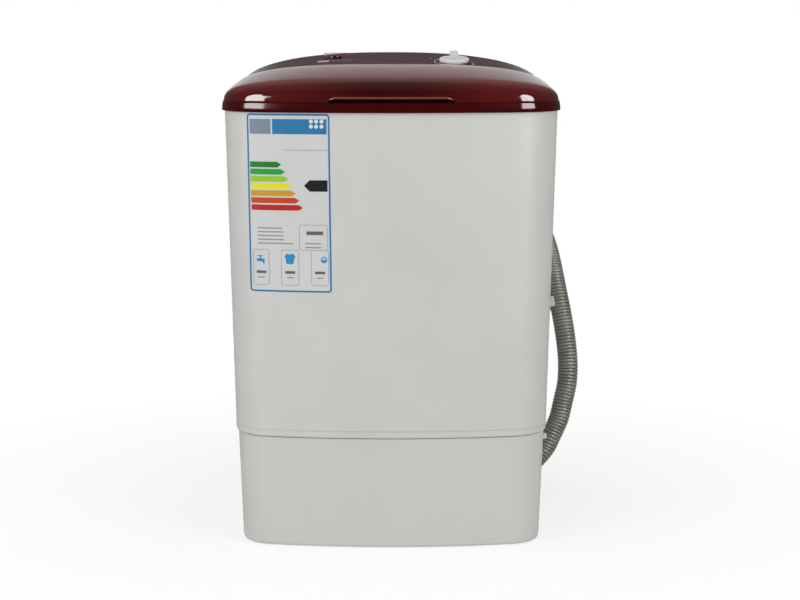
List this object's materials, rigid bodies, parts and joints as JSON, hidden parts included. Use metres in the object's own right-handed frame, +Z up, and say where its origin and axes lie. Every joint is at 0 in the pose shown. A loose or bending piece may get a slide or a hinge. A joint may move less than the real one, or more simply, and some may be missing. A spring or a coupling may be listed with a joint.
{
  "type": "washing machine",
  "caption": "Small top-loading washing machine with a single tub, see-through lid, sloping control panel and ribbed drain hose.",
  "frame": {"origin": "on the floor, below the middle of the cabinet", "axes": "front faces -Y, +X to the right seen from the front, +Z up"},
  "size_m": [0.454, 0.402, 0.5976],
  "materials": {
    "white_shell": "semi-gloss, faint moulding grain",
    "dark_plastic": "matt",
    "rubber_black": "matt",
    "screw_steel": "zinc-plated",
    "black_plastic": "satin",
    "maroon_plastic": "glossy",
    "smoked_lid": "glossy, see-through dark red",
    "panel_plastic": "glossy",
    "ivory_plastic": "satin",
    "knob_white": "semi-gloss",
    "rocker_red": "glossy, slightly see-through",
    "grey_plastic": "satin",
    "tub_white": "glossy",
    "hose_grey": "satin",
    "hose_cuff": "matt",
    "clip_white": "satin",
    "cast_aluminium": "as cast",
    "bronze": "sintered, matt",
    "belt_rubber": "matt, fabric-backed",
    "fan_plastic": "satin",
    "core_steel": "laminated, varnished",
    "copper_wire": "enamelled copper",
    "zinc_sheet": "galvanised",
    "capacitor_can": "semi-gloss",
    "wire_sleeve": "satin"
  },
  "bodies": {
    "cabinet": {"outer_casing": "white_shell", "base_casing": "white_shell", "service_cover": "white_shell", "bottom_cover": "dark_plastic", "feet": "rubber_black", "service_screws": "screw_steel", "cable_gland": "black_plastic", "top_frame": "maroon_plastic", "hinge_pins": "screw_steel", "control_panel": "panel_plastic", "timer": "ivory_plastic", "switch_housing": "black_plastic", "inlet_spigot": "grey_plastic", "inlet_pipe": "ivory_plastic", "wash_tub": "tub_white", "drain_strainer": "tub_white", "drain_pipe": "grey_plastic", "hose_clamp": "screw_steel", "drain_hose": "hose_grey", "hose_end": "hose_cuff", "hose_clip": "clip_white", "hose_rest": "clip_white", "hose_hook_right": "clip_white", "hose_hook_left": "clip_white", "bearing_housing": "cast_aluminium", "housing_screws": "screw_steel", "bearing_bushes": "bronze", "water_seal": "rubber_black", "drive_belt": "belt_rubber", "stator": "core_steel", "motor_windings": "copper_wire", "motor_upper_shield": "cast_aluminium", "motor_lower_shield": "cast_aluminium", "motor_bearings": "screw_steel", "motor_bracket": "zinc_sheet", "motor_mounts": "rubber_black", "bracket_screws": "screw_steel", "capacitor": "capacitor_can", "capacitor_strap": "zinc_sheet", "wiring": "wire_sleeve"},
    "lid": {"lid": "smoked_lid"},
    "timer_knob": {"timer_knob": "knob_white", "timer_shaft": "screw_steel"},
    "rocker": {"rocker": "rocker_red"},
    "pulsator": {"pulsator": "tub_white", "pulsator_screw": "screw_steel", "pulsator_shaft": "screw_steel", "large_pulley": "cast_aluminium"},
    "motor_rotor": {"rotor": "core_steel", "motor_pulley": "cast_aluminium", "cooling_fan": "fan_plastic"}
  },
  "joints": [
    {"name": "lid_hinge", "type": "hinge", "parent": "cabinet", "child": "lid", "pos_m": [0, 0.066, 0.57], "axis": [-1, 0, 0], "range_deg": [0, 95]},
    {"name": "timer_turn", "type": "hinge", "parent": "cabinet", "child": "timer_knob", "pos_m": [0.0835, 0.12, 0.58455], "axis": [0, 0.1564, -0.9877], "range_deg": [0, 300]},
    {"name": "rocker_tip", "type": "hinge", "parent": "cabinet", "child": "rocker", "pos_m": [-0.0755, 0.1515, 0.57982], "axis": [0, 0.9877, 0.1564], "range_deg": [0, 14]},
    {"name": "pulsator_spin", "type": "hinge", "parent": "cabinet", "child": "pulsator", "pos_m": [0, -0.022, 0.165], "axis": [0, 0, 1], "continuous": true},
    {"name": "motor_spin", "type": "hinge", "parent": "cabinet", "child": "motor_rotor", "pos_m": [-0.08, 0.101, 0.05], "axis": [0, 0, 1], "continuous": true}
  ],
  "couplings": [
    {"joint": "motor_spin", "follows": "pulsator_spin", "ratio": 5.6018}
  ]
}
